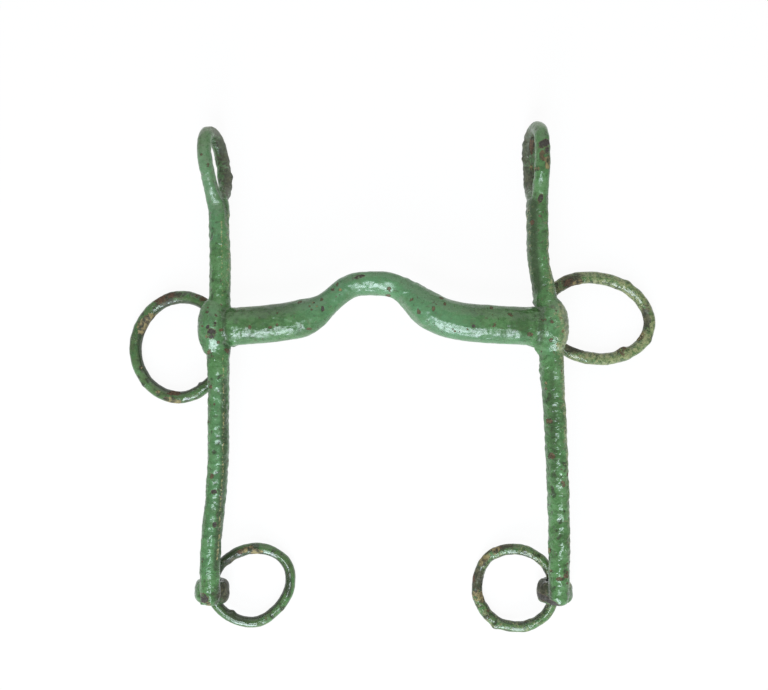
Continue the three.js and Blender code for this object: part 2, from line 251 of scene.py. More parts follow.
# Olive stains on the bit: line through pixels, height, reach and strength
STAINS = [
    ([(549, 205), (548, 250), (550, 292)], 17, 1.8, 0.6),
    ([(528, 208), (527, 250), (530, 292)], 15, 1.6, 0.4),
    ([(560, 312), (566, 330), (561, 350)], 16, 4.2, 0.8),
    ([(563, 350), (566, 400), (569, 450), (571, 482)], 15, 2.6, 1.1),
    ([(570, 482), (572, 585)], 15, 2.2, 0.8),
    ([(236, 307), (270, 303), (300, 298)], 16, 1.6, 0.5),
    ([(229, 215), (229, 290)], 17, 1.4, 0.4),
    ([(205, 470), (199, 560)], 15, 1.6, 0.35),
]
# Pale dust on the eyes' back strands, in the same terms. Elsewhere this pale is painted light: lighter eye
# crowns and fronts, a lighter right side on the right cheek, and a painted reflection along the port's
# lower rim
DUST_AND_PAINTED_LIGHT = [
    ([(203, 150), (203, 136), (211, 127), (222, 131)], 11, 3.0, 0.80),
    ([(203, 150), (209, 180), (214, 205)], 16, 3.0, 0.30),
    ([(531, 132), (538, 125), (547, 130)], 13, 2.2, 0.65),
    ([(221, 132), (228, 150), (231, 190)], 5, 4.0, 0.34),
    ([(528, 140), (526, 165), (528, 195)], 5, 4.0, 0.26),
    ([(560, 312), (566, 330), (562, 350)], 16, 3.0, 0.25),
    ([(560, 360), (566, 420), (569, 480), (571, 570)], 15, 2.2, 0.20),
    ([(557, 215), (557, 290)], 15, 1.6, 0.35),
    ([(401, 299), (410, 311), (421, 326)], 14, 0.9, 0.50),
]
# Fresher, bluer paint on the bit, in the same terms; partly real, and partly a painted mint sheen laid
# where highlights fall on the bosses, the left shank and eye, and the mouthpiece
FRESH_PAINT_AND_SHEEN = [
    ([(316, 302), (335, 287), (372, 281), (402, 290), (425, 312), (455, 330)], 19, 9.0, 0.65),
    ([(460, 340), (520, 346)], 18, 4.0, 0.45),
    ([(240, 350), (300, 346)], 18, 4.0, 0.35),
    ([(205, 160), (211, 195), (217, 235)], 16, 4.0, 0.55),
    ([(212, 315), (211, 330), (213, 345)], 19, 3.5, 0.40),
    ([(549, 320), (549, 352)], 19, 2.5, 0.35),
    ([(218, 380), (218, 460), (214, 505), (209, 570)], 18, 2.4, 0.35),
]
# Painted shade: darker sides of the cheeks and a darker upper edge on the mouthpiece, in the same terms
PAINTED_SHADE_LINES = [
    ([(232, 311), (270, 307), (316, 297)], 20, 3.6, 0.30),
    ([(531, 205), (531, 250), (535, 290)], 14, 2.6, 0.60),
    ([(550, 372), (551, 400), (553, 480)], 16, 1.8, 0.35),
    ([(226, 380), (226, 460), (222, 510), (218, 565)], 15, 1.7, 0.55),
    ([(541, 205), (541, 250)], 17, 1.5, 0.25),
]

# The sides of the bit by the sign of X from its middle
LEFT = -1
RIGHT = 1

# The front of each cheek leans sideways: its middle line in pixels, and how steeply it rises to the
# right. Lean and slope start at a height over the floor and are whole a little above it
LEFT_MIDDLE = [(217, 200), (219.5, 240), (219.5, 290), (218.5, 360), (218, 460), (214, 505), (209, 560)]
RIGHT_MIDDLE = [(536, 200), (537, 250), (546, 290), (551, 370), (554, 415), (557, 475), (559, 560)]
LEAN = {LEFT: (LEFT_MIDDLE, -0.08), RIGHT: (RIGHT_MIDDLE, 0.30)}
LEAN_LEVEL = 14.0
LEAN_RISE = 4.0
LEAN_WIDTH = 5.0
LEAN_FADE = 6.0

# Places on the front that slope down to the lower end: pixel, spread and slope
SLOPES = [
    ((209.5, 179), 4.0, 0.32),
    ((212, 194), 5.0, 0.38),
    ((541.5, 178), 5.0, 0.36),
    ((541.5, 213), 4.5, 0.50),
    ((212.5, 343), 3.5, 0.30),
    ((547, 337), 3.5, 0.30),
]

# How calm the forged surface of each cheek is along the photograph's height: pixel row and share.
# The back strands of the eyes are rough: the calm ends this far above them, over this height
LEFT_CALM = [
    (120, 0.7), (190, 0.7), (230, 0.35), (290, 0.4), (330, 0.6),
    (365, 0.3), (470, 0.2), (530, 0.4), (575, 0.5), (610, 0.3),
]
RIGHT_CALM = [
    (120, 0.7), (190, 0.6), (230, 0.3), (290, 0.35), (330, 0.5),
    (365, 0.3), (470, 0.15), (560, 0.15), (610, 0.3),
]
CALM_ALONG = {LEFT: LEFT_CALM, RIGHT: RIGHT_CALM}
ROUGH_BACK = 4.5
ROUGH_BACK_FADE = 3.0

# Knobs and dents seen at the outline: pixel, height, spread and rise. Small knobs are dirty with rust
Knob = namedtuple("Knob", "pixel height spread rise")
SMALL_KNOB = 3.0
BIT_KNOBS = [
    Knob((533.5, 303), 14, 1.9, 2.0),
    Knob((533, 294), 14, 1.3, 1.5),
    Knob((527.5, 252), 14, 1.3, 0.9),
    Knob((233, 142), 3, 1.4, 0.7),
    Knob((232, 161), 3, 1.3, 0.8),
    Knob((231, 176), 3, 1.4, 0.6),
    Knob((522, 158), 3, 1.5, 0.6),
    Knob((536, 351), 15, 4.0, 1.2),
    Knob((539, 372), 15, 6.0, 0.7),
    Knob((208, 365), 15, 6.0, 0.5),
    Knob((529, 211), 14, 5.0, 0.35),
    Knob((541, 579), 9, 2.6, -1.1),
    Knob((233, 588), 9, 2.6, -0.6),
    Knob((522, 150), 3, 6.0, 0.4),
    Knob((412, 291), 17, 6.0, 0.8),
    Knob((233, 347), 15, 2.4, 0.8),
]
RING_KNOBS = {
    "left_mouth_ring": [
        Knob((153, 319), 5, 1.5, 0.9),
        Knob((201, 386), 5, 1.1, 1.1),
        Knob((143, 385), 5, 1.2, 0.5),
        Knob((170, 293), 6, 1.6, 0.4),
    ],
    "right_mouth_ring": [
        Knob((622, 349), 5, 2.0, 1.5),
        Knob((628, 345), 6, 1.6, 0.9),
        Knob((650, 340), 5, 1.8, 0.6),
        Knob((572, 275), 5, 3.2, 0.3),
        Knob((629, 281), 5, 1.8, 0.5),
        Knob((606, 365), 5, 1.6, 0.4),
    ],
    "left_rein_ring": [
        Knob((255, 548), 6, 2.0, 0.5),
        Knob((232, 563), 5, 2.6, 0.5),
        Knob((243, 556), 5, 2.6, 0.4),
        Knob((255, 632), 6, 4.5, 0.3),
        Knob((233, 612), 6, 1.4, 0.8),
        Knob((283, 610), 5, 1.6, 0.3),
    ],
    "right_rein_ring": [
        Knob((494, 627), 5, 1.6, 0.9),
        Knob((512, 619), 5, 1.3, 0.8),
        Knob((487, 616), 5, 1.5, 0.6),
        Knob((474, 590), 5, 1.4, 0.5),
        Knob((547, 577), 5, 1.3, 0.6),
        Knob((484, 563), 5, 1.8, 0.4),
    ],
}

# How far each ring strays from its plain oval: direction in degrees, way outwards, spread in degrees
RING_STRAY = {
    "left_mouth_ring": [(185, 0.35, 30), (270, 0.4, 25)],
    "right_mouth_ring": [(120, 0.2, 20), (340, 0.6, 30)],
    "left_rein_ring": [
        (28, 0.8, 26),
        (320, -0.3, 30),
        (112, -0.3, 28),
        (235, -0.45, 22),
        (285, 0.5, 25),
    ],
    "right_rein_ring": [(170, -0.6, 25), (212, -0.45, 22), (325, 0.2, 25)],
}

# The yellow seam beside the left cheek's flat front, as lines through pixels
SEAMS = [
    [(221.5, 217), (222.5, 296)],
    [(223, 356), (223.5, 415), (222.5, 470), (219, 530), (216.5, 560)],
]
SEAM_HALF = 0.42
SEAM_FADE = 0.3
SEAM_RISE = 0.1

# Grooves at the joints: line through pixels, half width and depth
GROOVES = [
    ([(224.5, 311), (225.2, 330), (227, 345)], 1.2, 0.7),
    ([(541, 308), (540, 325), (539.5, 342)], 1.4, 0.3),
    ([(217, 183), (221, 193), (225.5, 206), (227.5, 224)], 0.8, 0.5),
    ([(534, 132), (533.5, 160), (531, 182), (527, 198)], 0.4, 0.25),
]

# The cheeks and the mouthpiece are one welded skin, parted across the mouthpiece at these two places
CHEEK_NODES = ("shank", "upper_eye", "boss", "rein_eye")
LEFT_CUT = -65.4
RIGHT_CUT = 56.0
VOXEL = 0.38
WELD_SWELL = 0.22
MERGE_DISTANCE = 0.005
WELD_SMOOTHING = 14
MOUTH_ROUNDING = 60
RING_ROUNDING = 3

# Where the smooth mouthpiece lies in Y, and how its smoothness fades out past the cuts in X
MOUTH_LEVEL = 30.0
MOUTH_REACH = 24.0
FADE_START = 3.0
FADE = 7.0

# The port's crown slopes down to the lower end, and the right arm hangs a little
CROWN_PIXEL = (373, 284)
CROWN_SPREAD = 8.5
CROWN_SLOPE = 0.36
SAG_PIXEL = (462, 320)
SAG_SPREAD = 16.0
SAG = 0.35

# How large each kind of unevenness is, and how deep on the cheeks, the mouthpiece and the rings
FEATURE_SIZE = {"broad": 9, "lumps": 3.4, "knots": 2.3, "grain": 1.3, "pits": 2.1}
CHEEK_RELIEF = {"broad": 0.26, "lumps": 0.32, "knots": 0.18, "grain": 0.05, "pits": 0.48}
MOUTH_RELIEF = {"broad": 0.18, "lumps": 0.08, "knots": 0.08, "grain": 0.02, "pits": 0.10}
RING_RELIEF = {"broad": 0.24, "lumps": 0.30, "knots": 0.16, "grain": 0.04, "pits": 0.34}
HAMMERED = ("lumps", "knots")
CROSSWISE = 1.4  # hammer marks are this many times shorter along the cheeks than across
PIT_LEVEL = 0.22
CHIP_DEPTH = 0.16
OCHRE_RISE = 0.1
# How dark the paint is made: painted shade in pits, in dips between lumps and in the joints' grooves; rust
# grime on small knobs; and a darker inner side on the rings
PIT_SHADE = 1.6
DIP_SHADE = 0.5
KNOB_GRIME = 0.8
GROOVE_SHADE = 0.4
RING_INNER_DARKENING = 0.8
MOUTH_GROW = 0.20
RIGHT_GROW = 0.16
RING_GROW = 0.12
RING_CALMING = 0.7  # how far a calm ring's relief sinks, all but its broad waves
BIT_SEED = 1
RING_SEED = 60
RING_SEED_STEP = 10

# What the paint's material reads from each piece, beside "polish" and "worn"
MASKS = ("metal", "rust", "ochre", "dirt_and_shade", "soil", "stain", "dust_and_light", "fresh_and_sheen", "seam")


def own_mesh(name, node_names):
    """One mesh object that holds copies of some CAD nodes' meshes."""
    points = []
    faces = []
    for node_name in node_names:
        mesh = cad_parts[node_name].data
        start = len(points)
        points += [tuple(v.co) for v in mesh.vertices]
        faces += [[start + i for i in polygon.vertices] for polygon in mesh.polygons]
    mesh = bpy.data.meshes.new(name)
    mesh.from_pydata(points, [], faces)
    piece = bpy.data.objects.new(name, mesh)
    bpy.context.scene.collection.objects.link(piece)
    weld = piece.modifiers.new("weld", "WELD")
    weld.merge_threshold = MERGE_DISTANCE * MM
    apply_modifiers(piece)
    return piece


def apply_modifiers(piece):
    graph = bpy.context.evaluated_depsgraph_get()
    mesh = bpy.data.meshes.new_from_object(piece.evaluated_get(graph))
    mesh.name = piece.name
    old = piece.data
    piece.modifiers.clear()
    piece.data = mesh
    bpy.data.meshes.remove(old)


def points_of(mesh):
    points = np.empty(len(mesh.vertices) * 3)
    mesh.vertices.foreach_get("co", points)
    return points.reshape(-1, 3)


def normals_of(mesh):
    normals = np.empty(len(mesh.vertices) * 3)
    mesh.vertex_normals.foreach_get("vector", normals)
    return normals.reshape(-1, 3)


def set_points(mesh, points):
    mesh.vertices.foreach_set("co", points.ravel())
    mesh.update()


def smoothing(piece, name, rounds):
    modifier = piece.modifiers.new(name, "SMOOTH")
    modifier.iterations = rounds
    modifier.factor = 0.5
    return modifier


def forge(name, node_names):
    """CAD solids grown into each other, skinned with fine even faces and smoothed at the welds.

    The mouthpiece is smoothed further, until its sides run round."""
    piece = own_mesh(name, node_names)
    mesh = piece.data
    set_points(mesh, points_of(mesh) + normals_of(mesh) * (WELD_SWELL * MM))
    skin = piece.modifiers.new("skin", "REMESH")
    skin.mode = "VOXEL"
    skin.voxel_size = VOXEL * MM
    skin.use_smooth_shade = True
    smoothing(piece, "soften", WELD_SMOOTHING)
    apply_modifiers(piece)
    rounded = piece.vertex_groups.new(name="rounded")
    for index, weight in enumerate(polish_of(points_of(piece.data))):
        if weight > 0:
            rounded.add([index], float(weight), "REPLACE")
    smoothing(piece, "round", MOUTH_ROUNDING).vertex_group = "rounded"
    apply_modifiers(piece)
    return piece


def bend_ring(name, node_name):
    """A ring's CAD wire, rounded by subdivision."""
    piece = own_mesh(name, [node_name])
    rounding = piece.modifiers.new("round", "SUBSURF")
    rounding.levels = RING_ROUNDING
    apply_modifiers(piece)
    for polygon in piece.data.polygons:
        polygon.use_smooth = True
    return piece


def field(points, size, seed):
    """Smooth noise from -1 to 1 at points in metres, with features of about a size in metres."""
    shift = Vector((seed * 7.13, seed * 3.71, seed * 5.37))
    return np.array([noise.noise(Vector(p) / size + shift) for p in points])


def distance_to_line(points, line, height):
    """Distance in mm in plan from points to a line drawn through pixels of the photograph."""
    places = np.array([seen_at(pixel, height) for pixel in line])
    plan = points[:, :2] / MM
    nearest = np.full(len(points), np.inf)
    for a, b in zip(places[:-1], places[1:]):
        share = np.clip(((plan - a) @ (b - a)) / ((b - a) @ (b - a)), 0, 1)
        nearest = np.minimum(nearest, np.linalg.norm(plan - (a + share[:, None] * (b - a)), axis=1))
    return nearest


def at_height(points, height):
    """1 on points near a height over the floor, 0 far above or below it."""
    return np.clip(2 - np.abs(points[:, 2] / MM - height) / MARK_DEPTH, 0, 1)


def mark_masks(points, normals, marks):
    """How deep each point lies in the marks of each kind: 1 in the middle, 0 out past the rim."""
    masks = {kind: np.zeros(len(points)) for kind in MASKS}
    facing_up = np.clip(normals[:, 2] * 4 + 1.5, 0, 1)
    for mark in marks:
        x, y = seen_at(mark.pixel, mark.height)
        away = points[:, :2] / MM - (x, y)
        turn = math.radians(mark.turn)
        along = away @ (math.cos(turn), math.sin(turn))
        across = away @ (-math.sin(turn), math.cos(turn))
        reach = np.hypot(along / mark.long, across / mark.wide) * MARK_SHRINK
        depth = np.clip(1.5 - reach, 0, 1) * facing_up * at_height(points, mark.height)
        masks[mark.kind] = np.maximum(masks[mark.kind], depth)
    return masks


def raise_knobs(points, knobs):
    """How far the points of a surface rise over its knobs, in mm, and how deep they lie in small ones."""
    rise = np.zeros(len(points))
    cover = np.zeros(len(points))
    for knob in knobs:
        x, y = seen_at(knob.pixel, knob.height)
        away = np.linalg.norm(points / MM - (x, y, knob.height), axis=1)
        near = np.exp(-(away / knob.spread) ** 2)
        rise += knob.rise * near
        if knob.spread < SMALL_KNOB:
            cover = np.maximum(cover, near)
    return rise, cover


def outward(points, name):
    """The direction in plan from a ring's middle to each point, as a vector and in degrees."""
    low, high = (np.array(corner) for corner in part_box(name))
    away = (points - (low + high) / 2)[:, :2]
    plan = away / np.linalg.norm(away, axis=1)[:, None]
    return plan, np.degrees(np.arctan2(away[:, 1], away[:, 0]))


def stray(points, name):
    """A ring's points moved outwards or inwards by direction, away from its plain oval."""
    plan, direction = outward(points, name)
    out = np.zeros(len(points))
    for angle, reach, spread in RING_STRAY[name]:
        turned = (direction - angle + 180) % 360 - 180
        out += reach * np.exp(-(turned / spread) ** 2)
    moved = points.copy()
    moved[:, :2] += plan * (out * MM)[:, None]
    return moved


def polish_of(points):
    """1 on the smooth mouthpiece, 0 on the rough cheeks, shading over between them."""
    x = points[:, 0] / MM
    inward = np.minimum(x - LEFT_CUT, RIGHT_CUT - x)
    level = np.abs(points[:, 1] / MM - MOUTH_LEVEL) < MOUTH_REACH
    return np.clip((inward + FADE_START) / FADE, 0, 1) * level


def calm_of(points, polish):
    """How calm the surface is: 1 on the mouthpiece, less along the cheeks."""
    side = np.sign(points[:, 0] / MM - CAMERA_MIDDLE[0])
    level = points[:, 1] / MM
    calm = np.zeros(len(points))
    for which, along in CALM_ALONG.items():
        levels = [seen_at((0, row), FRONT)[1] for row, _ in along]
        shares = [share for _, share in along]
        here = np.interp(level, levels[::-1], shares[::-1])
        calm = np.where(side == which, here, calm)
    back = np.clip((BACK_STRAND + ROUGH_BACK - points[:, 2] / MM) / ROUGH_BACK_FADE, 0, 1)
    return np.maximum(calm * (1 - back), polish)


def on_front(points):
    """1 on the front of the cheeks, 0 on their sides and back, shading over between them."""
    return np.clip((points[:, 2] / MM - LEAN_LEVEL) / LEAN_RISE, 0, 1)


def lean_of(points, polish):
    """How far the points on the front of each cheek rise or sink, in mm, by its sideways lean."""
    plan = points[:, :2] / MM
    side = np.sign(plan[:, 0] - CAMERA_MIDDLE[0])
    rise = np.zeros(len(points))
    for which, (line, slope) in LEAN.items():
        places = np.array([seen_at(pixel, FRONT) for pixel in line])[::-1]
        middle = np.interp(plan[:, 1], places[:, 1], places[:, 0])
        across = np.clip(plan[:, 0] - middle, -LEAN_WIDTH, LEAN_WIDTH)
        from_low_end = np.clip((plan[:, 1] - places[0, 1]) / LEAN_FADE, 0, 1)
        from_high_end = np.clip((places[-1, 1] - plan[:, 1]) / LEAN_FADE, 0, 1)
        inside = from_low_end * from_high_end
        rise += np.where(side == which, slope * across * inside, 0)
    return rise * on_front(points) * (1 - polish)


def slope_of(points):
    """How far points on the front rise or sink, in mm, where it slopes down to the lower end."""
    rise = np.zeros(len(points))
    for pixel, spread, slope in SLOPES:
        away = points[:, :2] / MM - seen_at(pixel, FRONT)
        rise += slope * away[:, 1] * np.exp(-(np.linalg.norm(away, axis=1) / spread) ** 2)
    return rise * on_front(points)


def stain_of(points, stains):
    """How deep each point lies in some stains, from 0 to their strength."""
    stain = np.zeros(len(points))
    for line, height, reach, strength in stains:
        near = np.exp(-(distance_to_line(points, line, height) / reach) ** 2)
        stain = np.maximum(stain, strength * near * at_height(points, height))
    return stain


def unevenness(points, crosswise, seed):
    """Noise of each kind at points in metres; hammer marks are squeezed along the cheeks."""
    squeezed = points * (1, crosswise, 1)
    uneven = {}
    for index, (kind, size) in enumerate(FEATURE_SIZE.items()):
        places = squeezed if kind in HAMMERED else points
        uneven[kind] = field(places, size * MM, seed + index)
    uneven["pits"] = np.clip(-uneven["pits"] - PIT_LEVEL, 0, 1)
    return uneven


def forged_surface(points, masks, knobs, depths, calm, crosswise, seed):
    """How far hammered, pitted and chipped iron stands out, in mm; adds painted shade in its pits and
    dips, rust on its small knobs, and its wear to the masks.
    """
    uneven = unevenness(points, crosswise, seed)
    broad, lumps, knots = uneven["broad"], uneven["lumps"], uneven["knots"]
    move = depths["broad"] * broad + depths["lumps"] * lumps + depths["knots"] * knots
    move += depths["grain"] * uneven["grain"] - depths["pits"] * uneven["pits"]
    move -= CHIP_DEPTH * np.clip(masks["metal"] * 2, 0, 1) - OCHRE_RISE * masks["ochre"]
    rise, cover = raise_knobs(points, knobs)
    move += rise * (1 + 0.5 * knots)
    # Painted shade in pits and dips, fainter where the surface is calm, and rust grime on small knobs
    shade_and_grime = PIT_SHADE * uneven["pits"] + DIP_SHADE * np.clip(-lumps, 0, 1)
    shade_and_grime = shade_and_grime * (1 - 0.85 * calm) + KNOB_GRIME * cover
    masks["dirt_and_shade"] = np.clip(np.maximum(shade_and_grime, masks["dirt_and_shade"]), 0, 1)
    masks["worn"] = np.clip(0.5 + 0.5 * lumps + 0.35 * broad - 1.2 * uneven["pits"], 0, 1)
    return move


def cut_joints(points, normals, masks):
    """How far the joints' grooves sink and the seam stands out, in mm; adds painted shade in the grooves,
    and the seam, to the masks.
    """
    move = np.zeros(len(points))
    front = np.clip(normals[:, 2] * 3, 0, 1)
    for line, width, deep in GROOVES:
        sunk = np.exp(-(distance_to_line(points, line, FRONT) / width) ** 2) * front
        move -= deep * sunk
        # Painted shade in the grooves
        masks["dirt_and_shade"] = np.maximum(masks["dirt_and_shade"], GROOVE_SHADE * np.clip(sunk * 1.5, 0, 1))
    for line in SEAMS:
        seam = np.clip((SEAM_HALF - distance_to_line(points, line, FRONT)) / SEAM_FADE, 0, 1)
        masks["seam"] = np.maximum(masks["seam"], seam * front)
    return move + SEAM_RISE * masks["seam"]


def keep_surface(mesh, points, masks):
    """Gives a mesh its new points, and its masks as attributes for the paint."""
    set_points(mesh, points)
    for kind, values in masks.items():
        layer = mesh.attributes.new(kind, "FLOAT", "POINT")
        layer.data.foreach_set("value", values.astype(np.float32))


def roughen_bit(skin):
    """Hammered iron under thick paint on the cheeks, and smoother paint on the mouthpiece."""
    mesh = skin.data
    points = points_of(mesh)
    normals = normals_of(mesh)
    polish = polish_of(points)
    calm = calm_of(points, polish)
    depths = {kind: deep + (MOUTH_RELIEF[kind] - deep) * calm for kind, deep in CHEEK_RELIEF.items()}
    masks = mark_masks(points, normals, BOSS_MARKS + SHANK_MARKS + EYE_MARKS + MOUTH_MARKS)
    move = forged_surface(points, masks, BIT_KNOBS, depths, calm, CROSSWISE, BIT_SEED)
    move += cut_joints(points, normals, masks)
    move += MOUTH_GROW * polish
    move += np.where(points[:, 0] > RIGHT_CUT * MM, RIGHT_GROW, 0) * (1 - polish)
    masks["polish"] = calm * (1 - 0.4 * polish)
    masks["stain"] = stain_of(points, STAINS)
    # Pale dust, and painted light on the eyes' crowns, the right cheek's right side and the port's lower
    # rim
    masks["dust_and_light"] = stain_of(points, DUST_AND_PAINTED_LIGHT)
    # Fresher paint, partly a painted sheen where highlights fall
    masks["fresh_and_sheen"] = stain_of(points, FRESH_PAINT_AND_SHEEN)
    # Painted shade along the darker sides of the cheeks and the mouthpiece's upper edge
    masks["dirt_and_shade"] = np.maximum(masks["dirt_and_shade"], stain_of(points, PAINTED_SHADE_LINES))
    points[:, 2] += (lean_of(points, polish) + slope_of(points)) * MM
    keep_surface(mesh, points + normals * (move * MM)[:, None], masks)


def roughen_ring(piece, ring, seed):
    """Rough wire under worn paint, darker all along its inner side."""
    mesh = piece.data
    points = points_of(mesh)
    normals = normals_of(mesh)
    calm = RING_CALM[ring]
    depths = {kind: deep * (1 - RING_CALMING * calm) for kind, deep in RING_RELIEF.items()}
    depths["broad"] = RING_RELIEF["broad"]
    marks = [mark._replace(height=RING_HEIGHT) for mark in RING_MARKS]
    masks = mark_masks(points, normals, marks)
    move = forged_surface(points, masks, RING_KNOBS[ring], depths, 0, 1, seed) + RING_GROW
    masks["polish"] = np.full(len(points), calm)
    masks["stain"] += RING_STAIN[ring]
    plan = outward(points, ring)[0]
    inner = np.clip(-1.6 * (normals[:, :2] * plan).sum(axis=1) - 0.35, 0, 1)
    masks["dirt_and_shade"] = np.maximum(masks["dirt_and_shade"], RING_INNER_DARKENING * inner)
    keep_surface(mesh, points + normals * (move * MM)[:, None], masks)


def wear_mouthpiece(piece):
    """Slopes the port's crown and lets the right arm hang."""
    points = points_of(piece.data)
    polish = polish_of(points)
    x, y = seen_at(CROWN_PIXEL, FRONT)
    near = np.exp(-((points[:, 0] / MM - x) / CROWN_SPREAD) ** 2) * polish
    points[:, 2] += CROWN_SLOPE * near * (points[:, 1] - y * MM)
    x, y = seen_at(SAG_PIXEL, FRONT)
    near = np.exp(-((points[:, 0] / MM - x) / SAG_SPREAD) ** 2) * polish
    points[:, 1] -= SAG * MM * near
    set_points(piece.data, points)


def part_of(piece, name, low, high):
    """A closed copy of a piece between two planes across X, in mm; None is no plane."""
    grid = bmesh.new()
    grid.from_mesh(piece.data)
    for x, side in ((low, -1), (high, 1)):
        if x is None:
            continue
        cut = bmesh.ops.bisect_plane(
            grid,
            geom=grid.verts[:] + grid.edges[:] + grid.faces[:],
            plane_co=(x * MM, 0, 0),
            plane_no=(side, 0, 0),
            clear_outer=True,
        )
        rim = [edge for edge in cut["geom_cut"] if isinstance(edge, bmesh.types.BMEdge)]
        for edge in rim:
            edge.smooth = False
        cap = bmesh.ops.contextual_create(grid, geom=rim)
        for face in cap["faces"]:
            face.smooth = False
    bmesh.ops.recalc_face_normals(grid, faces=grid.faces[:])
    mesh = bpy.data.meshes.new(name)
    grid.to_mesh(mesh)
    grid.free()
    part = bpy.data.objects.new(name, mesh)
    bpy.context.scene.collection.objects.link(part)
    return part


def keep_in_box(piece):
    """No point leaves the CAD model's box."""
    low = np.array(cad_box[0])
    high = np.array(cad_box[1])
    set_points(piece.data, np.clip(points_of(piece.data), low, high))


class Kit:
    """Adds nodes to a node tree. Each value may be a number, a colour or another node's socket."""

    def __init__(self, tree):
        self.nodes = tree.nodes
        self.links = tree.links
        self.nodes.clear()

    def feed(self, socket, value):
        if isinstance(value, tuple):
            socket.default_value = (*value, 1)
        elif isinstance(value, (int, float)):
            socket.default_value = value
        else:
            self.links.new(value, socket)

    def maths(self, operation, a, b, clamp=False):
        node = self.nodes.new("ShaderNodeMath")
        node.operation = operation
        node.use_clamp = clamp
        self.feed(node.inputs[0], a)
        self.feed(node.inputs[1], b)
        return node.outputs["Value"]

    def step(self, value, low, high, out_low=0.0, out_high=1.0):
        """Runs smoothly from one value to another while its input runs from low to high."""
        node = self.nodes.new("ShaderNodeMapRange")
        node.interpolation_type = "SMOOTHSTEP"
        self.feed(node.inputs["Value"], value)
        self.feed(node.inputs["From Min"], low)
        self.feed(node.inputs["From Max"], high)
        self.feed(node.inputs["To Min"], out_low)
        self.feed(node.inputs["To Max"], out_high)
        return node.outputs["Result"]

    def ramp(self, value, stops):
        node = self.nodes.new("ShaderNodeValToRGB")
        elements = node.color_ramp.elements
        while len(elements) < len(stops):
            elements.new(0.5)
        for element, (place, colour) in zip(elements, stops):
            element.position = place
            element.color = (*colour, 1)
        self.feed(node.inputs["Fac"], value)
        return node.outputs["Color"]

    def mix(self, share, a, b):
        """Mixes two numbers. The sockets go by number, as several have one name."""
        node = self.nodes.new("ShaderNodeMix")
        self.feed(node.inputs["Factor"], share)
        self.feed(node.inputs[2], a)
        self.feed(node.inputs[3], b)
        return node.outputs[0]

    def blend(self, share, a, b):
        """Mixes two colours, in the same way."""
        node = self.nodes.new("ShaderNodeMix")
        node.data_type = "RGBA"
        self.feed(node.inputs["Factor"], share)
        self.feed(node.inputs[6], a)
        self.feed(node.inputs[7], b)
        return node.outputs[2]

    def attribute(self, name):
        node = self.nodes.new("ShaderNodeAttribute")
        node.attribute_name = name
        return node.outputs["Fac"]

    def texture(self, texture, coords):
        node = self.nodes.new("ShaderNodeTexNoise")
        node.inputs["Scale"].default_value = 1 / (texture.size * MM)
        node.inputs["Detail"].default_value = texture.detail
        node.inputs["Roughness"].default_value = texture.rough
        node.inputs["Distortion"].default_value = texture.warp
        self.links.new(coords, node.inputs["Vector"])
        return node.outputs["Fac"]


# Linear colours
DEEP_GREEN = (0.037, 0.098, 0.029)
PAINT_GREEN = (0.059, 0.156, 0.047)
LIGHT_GREEN = (0.104, 0.235, 0.092)
# Bluer green of fresh paint, also used as a painted sheen
FRESH_AND_SHEEN_GREEN = (0.092, 0.232, 0.110)
OLIVE = (0.056, 0.082, 0.026)
# Pale grey of dust, also used for painted light
DUST_AND_LIGHT_GREY = (0.195, 0.225, 0.165)
DARK_STAIN = (0.044, 0.052, 0.020)
OLIVE_STAIN = (0.125, 0.180, 0.066)
PALE_STAIN = (0.275, 0.290, 0.135)
SOIL = (0.092, 0.086, 0.048)
DARK_SOIL = (0.034, 0.034, 0.020)
RUST = (0.125, 0.064, 0.036)
DARK_RUST = (0.050, 0.034, 0.024)
BARE_METAL = (0.066, 0.060, 0.050)
DARK_METAL = (0.028, 0.025, 0.020)
# Dark green for grime and for painted shade
GRIME_AND_SHADE = (0.024, 0.036, 0.017)
OCHRE = (0.260, 0.208, 0.092)
SEAM_YELLOW = (0.42, 0.36, 0.17)
DRY_BROWN = (0.120, 0.090, 0.050)
SHEEN_BLUE = (0.86, 0.86, 1.0)

# Each colour ramp runs over one texture of the paint
GREEN_STOPS = [(0.42, DEEP_GREEN), (0.54, PAINT_GREEN), (0.68, LIGHT_GREEN)]
BIT_STAIN_STOPS = [(0.33, OLIVE), (0.44, OLIVE_STAIN), (0.58, PALE_STAIN)]
RING_STAIN_STOPS = [(0.32, DARK_STAIN), (0.43, OLIVE_STAIN), (0.60, PALE_STAIN)]
SOIL_STOPS = [(0.44, DARK_SOIL), (0.64, SOIL)]
RUST_STOPS = [(0.35, DARK_RUST), (0.6, RUST), (0.8, DRY_BROWN)]
OCHRE_STOPS = [(0.38, DARK_SOIL), (0.47, DRY_BROWN), (0.58, OCHRE)]
METAL_STOPS = [(0.3, DARK_METAL), (0.7, BARE_METAL)]

# The textures: size in mm, detail, roughness and distortion
Texture = namedtuple("Texture", "size detail rough warp", defaults=(0.55, 0.0))
BROAD = Texture(12, 2, 0.5)
MOTTLE = Texture(2.2, 4, 0.60, 0.5)
FINE = Texture(0.6, 3, 0.6)
RAGGED = Texture(0.9, 6, 0.75, 1.2)
BLOTCHES = Texture(1.5, 6, 0.72, 0.8)
SPECKLES = Texture(1.7, 3, 0.58, 0.4)
DOTS = Texture(0.8, 2)
PATCHES = Texture(7, 2)
CELL_SIZE = 2.6
CELL_JITTER_SIZE = 0.9
CELL_JITTER = 1.1
BUMP_DEPTH = 0.42

